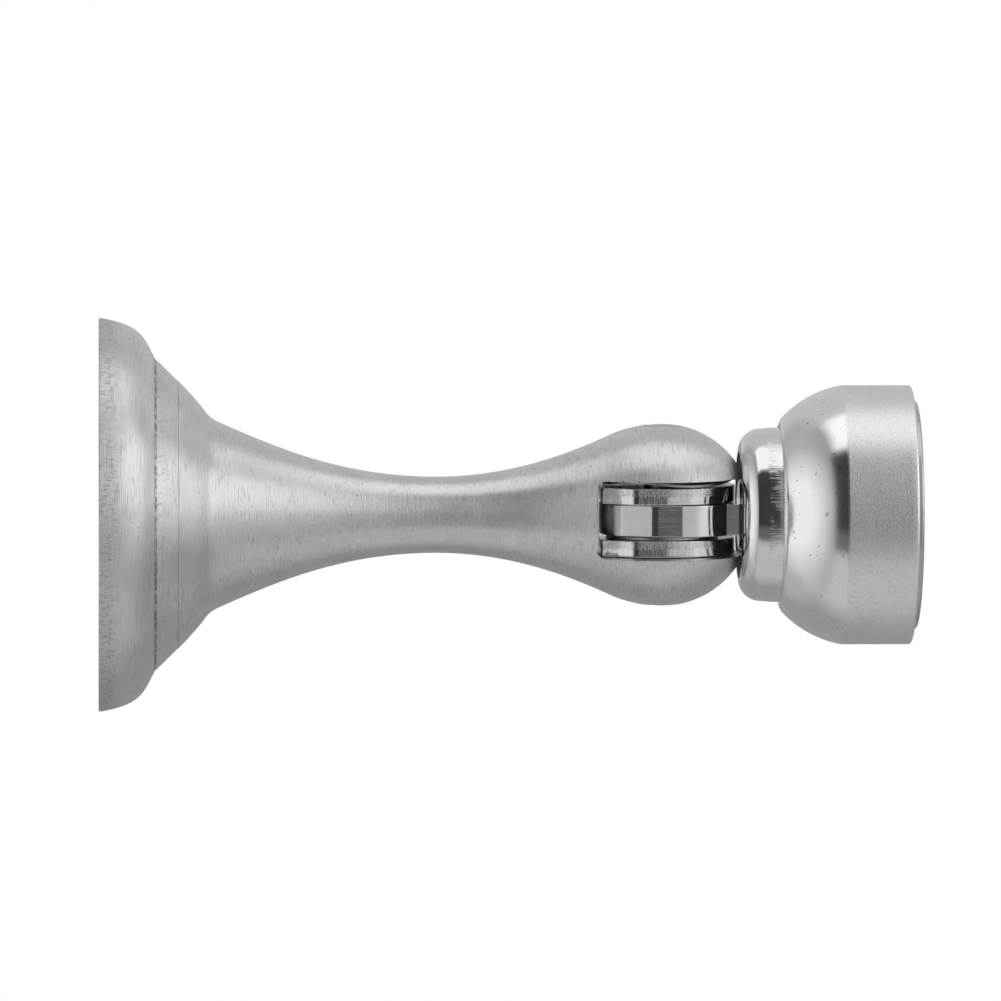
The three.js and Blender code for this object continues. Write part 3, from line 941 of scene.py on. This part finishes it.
def satin_nickel():
    """Nickel brushed by hand round the axis: short streaks, faint patches, a few pits, a rougher cut
    at the rim of the flange, and painted shade in the flange's fine groove."""
    n = Nodes("satin_nickel")
    n.metal(0.85)
    x, y, z = n.split(n.point())
    rim = n.range(z, 0.0012, 0.0026, 1, 0)
    spread = n.combine(n.math("MULTIPLY", x, 1.6), y, n.math("MULTIPLY", z, 0.6))
    grit = n.math("MULTIPLY", n.range(n.noise(spread, 2600, 3.0), 0.50, 0.64, 0, 1), rim)
    angle = n.math("ARCTAN2", y, x)
    slant = n.math("ADD", n.math("MULTIPLY", angle, 95), n.math("MULTIPLY", z, 4000))
    slanted = n.combine(slant, n.math("MULTIPLY", z, 420), 0.0)
    cuts = n.range(n.noise(slanted, 1.0, 1.0), 0.60, 0.68, 0, 1)
    cuts = n.math("MULTIPLY", cuts, n.band(z, 0.0062, 0.0064, 0.0069, 0.0080))
    # painted shade: the flange's fine groove is darkened nearly to black, broken up by noise
    groove_shade_breakup = n.range(n.noise(n.point(), 1700, 2.0), 0.42, 0.55, 0.35, 1)
    groove = n.math("MULTIPLY", n.band(z, 0.00590, 0.00600, 0.00618, 0.00632), groove_shade_breakup)
    fine = n.noise(n.round_axis(16, 0.00006), 1.0, 2.0)
    coarse = n.noise(n.round_axis(5, 0.00022), 1.0, 3.0)
    patch = n.noise(n.point(), 260, 3.0)
    streaks = n.range(n.math("MULTIPLY", coarse, patch), 0.16, 0.42, 0, 1)
    hair = n.range(n.noise(n.round_axis(7, 0.00011), 1.0, 1.0), 0.57, 0.70, 0, 1)
    hair = n.math("MULTIPLY", hair, n.range(n.noise(n.point(), 420, 2.0), 0.40, 0.56, 0, 1))
    specks = n.add("TexVoronoi")
    n.link(n.point(), specks.inputs["Vector"])
    specks.inputs["Scale"].default_value = 1300
    pits = n.range(specks.outputs["Distance"], 0.06, 0.2, 1, 0)
    worn = n.range(n.noise(n.point(), 330, 2.0), 0.56, 0.66, 0, 1)
    pits = n.math("MULTIPLY", pits, worn)
    scars = n.math("MAXIMUM", grit, cuts)
    tone = n.middle(fine, streaks)
    base = n.colour(n.range(tone, 0.15, 0.85, 0, 1), grey(0.62), grey(0.79))
    base = n.over_colour(base, n.math("MULTIPLY", hair, 0.5), grey(0.34))
    base = n.over_colour(base, n.math("MULTIPLY", scars, 0.4), grey(0.3))
    base = n.over_colour(base, n.math("MULTIPLY", groove, 0.75), grey(0.1))
    base = n.over_colour(base, n.math("MULTIPLY", pits, 0.6), grey(0.2))
    n.set("Base Color", base)
    rough = n.range(tone, 0.1, 0.9, 0.34, 0.44)
    n.set("Roughness", n.math("ADD", rough, n.math("MULTIPLY", rim, 0.10)))
    marks = n.bump(fine, 0.000014)
    marks = n.bump(streaks, 0.000015, under=marks)
    marks = n.bump(n.without(scars), 0.00002, under=marks)
    marks = n.bump(n.without(hair), 0.000012, under=marks)
    n.set("Normal", n.bump(n.without(pits), 0.00003, under=marks))
    return n.material


def pearl_nickel():
    """Plated cup: bright round the shoulder, blasted to an even grain behind it, with pinholes and
    painted shade in the grain's hollows.
    """
    n = Nodes("pearl_nickel")
    n.metal()
    z = n.split(n.point())[2]
    blasted = n.range(z, (KINK_Z - 0.1) * MM, (KINK_Z + 0.2) * MM, 0, 1)
    grain = n.noise(n.point(), 4600, 2.0, 0.6)
    cloud = n.noise(n.point(), 220, 3.0)
    specks = n.range(n.noise(n.point(), 2300, 0.0), 0.79, 0.83, 0, 1)
    specks = n.math("MULTIPLY", specks, n.range(blasted, 0, 1, 1, 0.35))
    # painted shade: the low spots of the blasted grain are darkened
    hollow_shade = n.math("MULTIPLY", blasted, n.range(grain, 0.3, 0.5, 0.35, 0))
    base = n.colour(n.range(cloud, 0.3, 0.7, 0, 1), grey(0.77), grey(0.81))
    base = n.over_colour(base, n.math("MULTIPLY", specks, 0.6), grey(0.2))
    n.set("Base Color", n.over_colour(base, hollow_shade, grey(0.4)))
    smooth = n.range(cloud, 0.3, 0.7, 0.14, 0.18)
    n.set("Roughness", n.math("ADD", smooth, n.math("MULTIPLY", blasted, 0.21)))
    relief = n.math("MULTIPLY", grain, n.range(blasted, 0, 1, 0.08, 1))
    n.set("Normal", n.bump(relief, 0.000017))
    return n.material


def polished_nickel():
    """Buffed to a mirror, with hairlines and faint smears."""
    n = Nodes("polished_nickel")
    n.metal()
    smear = n.noise(n.point(), 500, 3.0)
    lines = n.range(n.noise(n.drawn(9000, 400), 1.0, 2.0), 0.55, 0.75, 0, 1)
    n.set("Base Color", n.colour(n.range(smear, 0.3, 0.7, 0, 1), grey(0.72), grey(0.80)))
    n.set("Roughness", n.range(n.math("MULTIPLY", lines, smear), 0.0, 0.5, 0.07, 0.2))
    n.set("Normal", n.bump(lines, 0.0000015))
    return n.material


def blanked_nickel(name, low, high):
    """A disc punched from thick sheet: its edge is torn and speckled on the side at low and
    burnished by the punch on the side at high (metres along X)."""
    n = Nodes(name)
    n.metal()
    x = n.split(n.point())[0]
    wander = n.math("SUBTRACT", n.noise(n.point(), 900, 2.0), 0.5)
    wander = n.math("MULTIPLY", wander, 0.0002)
    torn = n.range(n.math("ADD", x, wander), low, high, 1, 0)
    speck = n.range(n.noise(n.point(), 5200, 2.0), 0.42, 0.6, 0, 1)
    drag = n.noise(n.drawn(500, 3600), 1.0, 2.0)
    pale = n.colour(n.range(drag, 0.35, 0.65, 0, 1), grey(0.66), grey(0.80))
    dark = n.math("MULTIPLY", torn, n.math("MULTIPLY", speck, 0.5))
    n.set("Base Color", n.over_colour(pale, dark, grey(0.42)))
    rough = n.range(drag, 0.35, 0.7, 0.07, 0.16)
    n.set("Roughness", n.math("ADD", rough, n.math("MULTIPLY", torn, 0.08)))
    marks = n.bump(n.math("MULTIPLY", drag, n.without(torn)), 0.000004)
    n.set("Normal", n.bump(n.math("MULTIPLY", speck, torn), 0.000006, under=marks))
    return n.material


def slid_nickel():
    """The polished collar, scored lengthwise where the buffer cup slides on it, with painted shade in
    its dish:
    there the surface is made near black, rough and not metal, standing in for the shadow in the slot."""
    n = Nodes("slid_nickel")
    n.metal()
    x, y, z = n.split(n.point())
    score = n.range(n.noise(n.drawn(5200, 260), 1.0, 2.0), 0.42, 0.62, 0, 1)
    worn = n.range(n.noise(n.point(), 620, 2.0), 0.36, 0.52, 0, 1)
    slid = n.math("MULTIPLY", n.range(z, 0.07195, 0.0723, 0, 1), worn)
    score = n.math("MULTIPLY", score, slid)
    smear = n.noise(n.point(), 500, 3.0)
    # painted shade: the dish inside the collar's rim is made near black, rough and not metal in place
    # of the slot's shadow
    dish_shade = n.range(n.from_axis(x, y), 0.00678, 0.00692, 1, 0)
    base = n.colour(n.range(smear, 0.3, 0.7, 0, 1), grey(0.72), grey(0.79))
    n.set("Base Color", n.over_colour(base, dish_shade, grey(0.07)))
    rough = n.math("ADD", n.range(smear, 0.3, 0.7, 0.08, 0.12), n.math("MULTIPLY", score, 0.3))
    n.set("Roughness", n.math("MAXIMUM", rough, n.math("MULTIPLY", dish_shade, 0.6)))
    n.set("Metallic", n.without(dish_shade))
    n.set("Normal", n.bump(score, 0.000008))
    return n.material


def machined(name, dark, light, rough_low, rough_high):
    """Plain turned or stamped steel under a plated or oiled skin."""
    n = Nodes(name)
    n.metal(0.3)
    rings = n.noise(n.round_axis(4, 0.00012), 1.0, 2.0)
    cloud = n.noise(n.point(), 700, 3.0)
    tone = n.middle(rings, cloud)
    n.set("Base Color", n.colour(n.range(tone, 0.3, 0.7, 0, 1), dark, light))
    n.set("Roughness", n.range(tone, 0.3, 0.7, rough_low, rough_high))
    n.set("Normal", n.bump(rings, 0.000006))
    return n.material


MATERIALS = {
    "satin_nickel": satin_nickel(),
    "pearl_nickel": pearl_nickel(),
    "polished_nickel": polished_nickel(),
    "steel": machined("ground_steel", (0.42, 0.43, 0.44), (0.55, 0.56, 0.57), 0.25, 0.38),
    "spring_steel": machined("spring_steel", (0.30, 0.31, 0.33), (0.42, 0.43, 0.45), 0.25, 0.4),
    "zinc_plate": machined("zinc_plate", (0.55, 0.57, 0.60), (0.68, 0.70, 0.72), 0.28, 0.42),
    "magnet_nickel": machined("magnet_nickel", (0.40, 0.40, 0.40), (0.56, 0.56, 0.56), 0.2, 0.34),
}

# ------------------------------------------------------------------ placing


def put(piece, body, slot, *nodes, finish=None):
    """Finishes a piece: material, body, slot, and the CAD nodes that it stands for."""
    shade(piece)
    piece.data.materials.clear()
    piece.data.materials.append(finish or MATERIALS[slot])
    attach(piece, body)
    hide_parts(*nodes)


put(base_flange(), "base", "satin_nickel", "base_flange")
put(post(), "base", "satin_nickel", "post")
put(pivot_pin(), "base", "steel", "pivot_pin")
put(swivel_tongue(), "head", "polished_nickel", "swivel_tongue")
for side in ("left", "right"):
    low_x, high_x = low_high("friction_disc_" + side, 0)
    middle = (low_x + high_x) / 2 * MM
    blanked = blanked_nickel("blanked_" + side, middle - 0.02 * MM, middle + 0.04 * MM)
    disc = friction_disc(side + "_disc", low_x, high_x)
    put(disc, "base", "polished_nickel", "friction_disc_" + side, finish=blanked)
put(collar(), "head", "polished_nickel", "collar", finish=slid_nickel())
put(head_cup(), "cup", "pearl_nickel", "head_cup")
put(magnet_pot(), "cup", "magnet_nickel", "magnet_pot")
put(ring_magnet(), "cup", "magnet_nickel", "ring_magnet")
put(mounting_plate(), "base", "zinc_plate", "mounting_plate")
put(mounting_stud(), "base", "steel", "mounting_stud")
put(wave_washer(), "base", "spring_steel", "wave_washer")
put(thrust_washer(), "base", "spring_steel", "thrust_washer")
put(lock_washer(), "head", "spring_steel", "lock_washer")
put(collar_nut(), "head", "zinc_plate", "collar_nut")
put(slide_stop_ring(), "head", "spring_steel", "slide_stop_ring")
spring = buffer_spring()
put(spring, "head", "spring_steel", "buffer_spring")
squeeze_spring(spring)
put(thrust_plate(), "cup", "zinc_plate", "thrust_plate")
put(retaining_ring(), "cup", "spring_steel", "retaining_ring")
put(magnet_screw(), "cup", "zinc_plate", "magnet_screw")

# ------------------------------------------------------------------ stage, light and camera

HEIGHT = CAD_BOX[1].z - CAD_BOX[0].z


def floor():
    """A plain pale floor, left out of reflections."""
    bm = bmesh.new()
    bmesh.ops.create_circle(bm, cap_ends=True, segments=96, radius=0.6)
    plane = piece_from("floor", bm)
    n = Nodes("pale_floor")
    cloud = n.noise(n.point(), 40, 3.0)
    tone = n.range(cloud, 0.3, 0.7, 0, 1)
    n.set("Base Color", n.colour(tone, (0.80, 0.80, 0.80), (0.84, 0.84, 0.84)))
    n.shader.inputs["Roughness"].default_value = 0.7
    plane.data.materials.append(n.material)
    plane.visible_glossy = False


# Light panels on the studio's walls, painted one over the other. Angles are in degrees: turn is
# counted from the camera's side toward +X, lift from level upward.
PANELS = (
    # turn from, to, soft edge, lift from, to, soft edge, brightness
    (-180, -108, 12, -34, 62, 16, 0.62),  # wall behind the key
    (80, 125, 24, -34, 62, 16, 0.36),
    (28, 96, 26, -34, 55, 14, 0.61),  # fill on the +X side
    (-68, 30, 8, 2, 62, 6, 0.56),  # wall over the camera
    (-68, -16, 24, 8, 62, 14, 0.84),
    (-68, 30, 14, 34, 62, 14, 0.82),
    (-180, 180, 0, -90, -36, 12, 0.50),  # sweep below
    (24, 95, 16, -90, -38, 12, 0.62),
    (-109, -66, 7, -27, 39, 8, 1.22),  # key, along the -X side
    (-66, 30, 8, -31, 4.7, 2, 0.16),  # gap that the camera looks through
    (-66, 12, 9, -31, 3, 2, 0.05),
)
ROOM = 0.36
LAMP_TURN = -38  # the lamp is a long box that runs up and over along this turn
# off its line from, to, soft edge, climb from, to, soft edge, brightness
LAMP = (-25, 16, 9, 31, 92, 14, 1.55)
POOL = (-0.05, -0.22, -0.97)  # direction of the lit floor under the part
POOL_SPREAD = (20, 46)  # degrees off that direction: full inside the first, gone at the second
POOL_LEVEL = 1.08


def window(n, across, along, edges):
    """1 between the edges of a panel and 0 outside, with soft borders. Edges that close a full
    turn or end at the poles need no border."""
    inside = 1.0
    for value, low, high, soft in ((across, *edges[:3]), (along, *edges[3:6])):
        if low > -180 and low != -90:
            inside = n.math("MULTIPLY", inside, n.range(value, low - soft / 2, low + soft / 2, 0, 1))
        if high < 180 and high != 90:
            inside = n.math("MULTIPLY", inside, n.range(value, high - soft / 2, high + soft / 2, 1, 0))
    return inside


def over(n, under, inside, level):
    """Paints a brightness over what is under it, where inside is 1."""
    kept = n.math("MULTIPLY", under, n.math("SUBTRACT", 1.0, inside))
    return n.math("ADD", kept, n.math("MULTIPLY", inside, level))


def world():
    """White for the camera; for reflections and light, a grey room with soft panels."""
    scene = bpy.context.scene
    scene.world = bpy.data.worlds.new("room")
    n = Nodes(world=scene.world)
    way = n.add("TexCoord").outputs["Generated"]
    x, y, z = n.split(way)

    def part_along(direction):
        node = n.add("VectorMath", operation="DOT_PRODUCT")
        n.link(way, node.inputs[0])
        node.inputs[1].default_value = Vector(direction).normalized()
        return node.outputs["Value"]

    turn = n.math("DEGREES", n.math("ARCTAN2", x, n.math("MULTIPLY", y, -1.0)))
    lift = n.math("DEGREES", n.math("ARCSINE", z))
    level = ROOM
    for panel in PANELS:
        level = over(n, level, window(n, turn, lift, panel), panel[6])
    c, s = math.cos(math.radians(LAMP_TURN)), math.sin(math.radians(LAMP_TURN))
    off = n.math("DEGREES", n.math("ARCSINE", part_along((c, s, 0))))
    climb = n.math("DEGREES", n.math("ARCTAN2", z, part_along((s, -c, 0))))
    level = over(n, level, window(n, off, climb, LAMP), LAMP[6])
    below = n.math("DEGREES", n.math("ARCCOSINE", part_along(POOL)))
    level = over(n, level, n.range(below, *POOL_SPREAD, 1, 0), POOL_LEVEL)
    seen = n.add("LightPath").outputs["Is Camera Ray"]
    pick = n.add("Mix")
    n.link(seen, pick.inputs["Factor"])
    n.link(level, pick.inputs["A"])
    pick.inputs["B"].default_value = 1.0
    n.link(pick.outputs["Result"], n.shader.inputs["Strength"])
    n.shader.inputs["Color"].default_value = (1, 1, 1, 1)


def camera():
    """Level with the base, a little to the -X side, rolled so that the post lies flat."""
    distance = 1.13
    turn = math.radians(5)
    aside = -0.00155
    aim = Vector((aside, 0, HEIGHT * 0.491))
    place = Vector((aside - distance * math.sin(turn), -distance * math.cos(turn), 0))
    forward = (aim - place).normalized()
    right = (Vector((0, 0, 1)) - forward * forward.z).normalized()
    up = (-forward).cross(right)
    data = bpy.data.cameras.new("camera")
    data.sensor_width = 36
    data.lens = 375.5
    data.clip_start = 0.05
    data.clip_end = 20
    eye = bpy.data.objects.new("camera", data)
    rotation = Matrix((right, up, -forward)).transposed().to_4x4()
    eye.matrix_world = Matrix.Translation(place) @ rotation
    bpy.context.scene.collection.objects.link(eye)
    bpy.context.scene.camera = eye


floor()
world()
camera()
bpy.context.scene.view_settings.view_transform = "Standard"
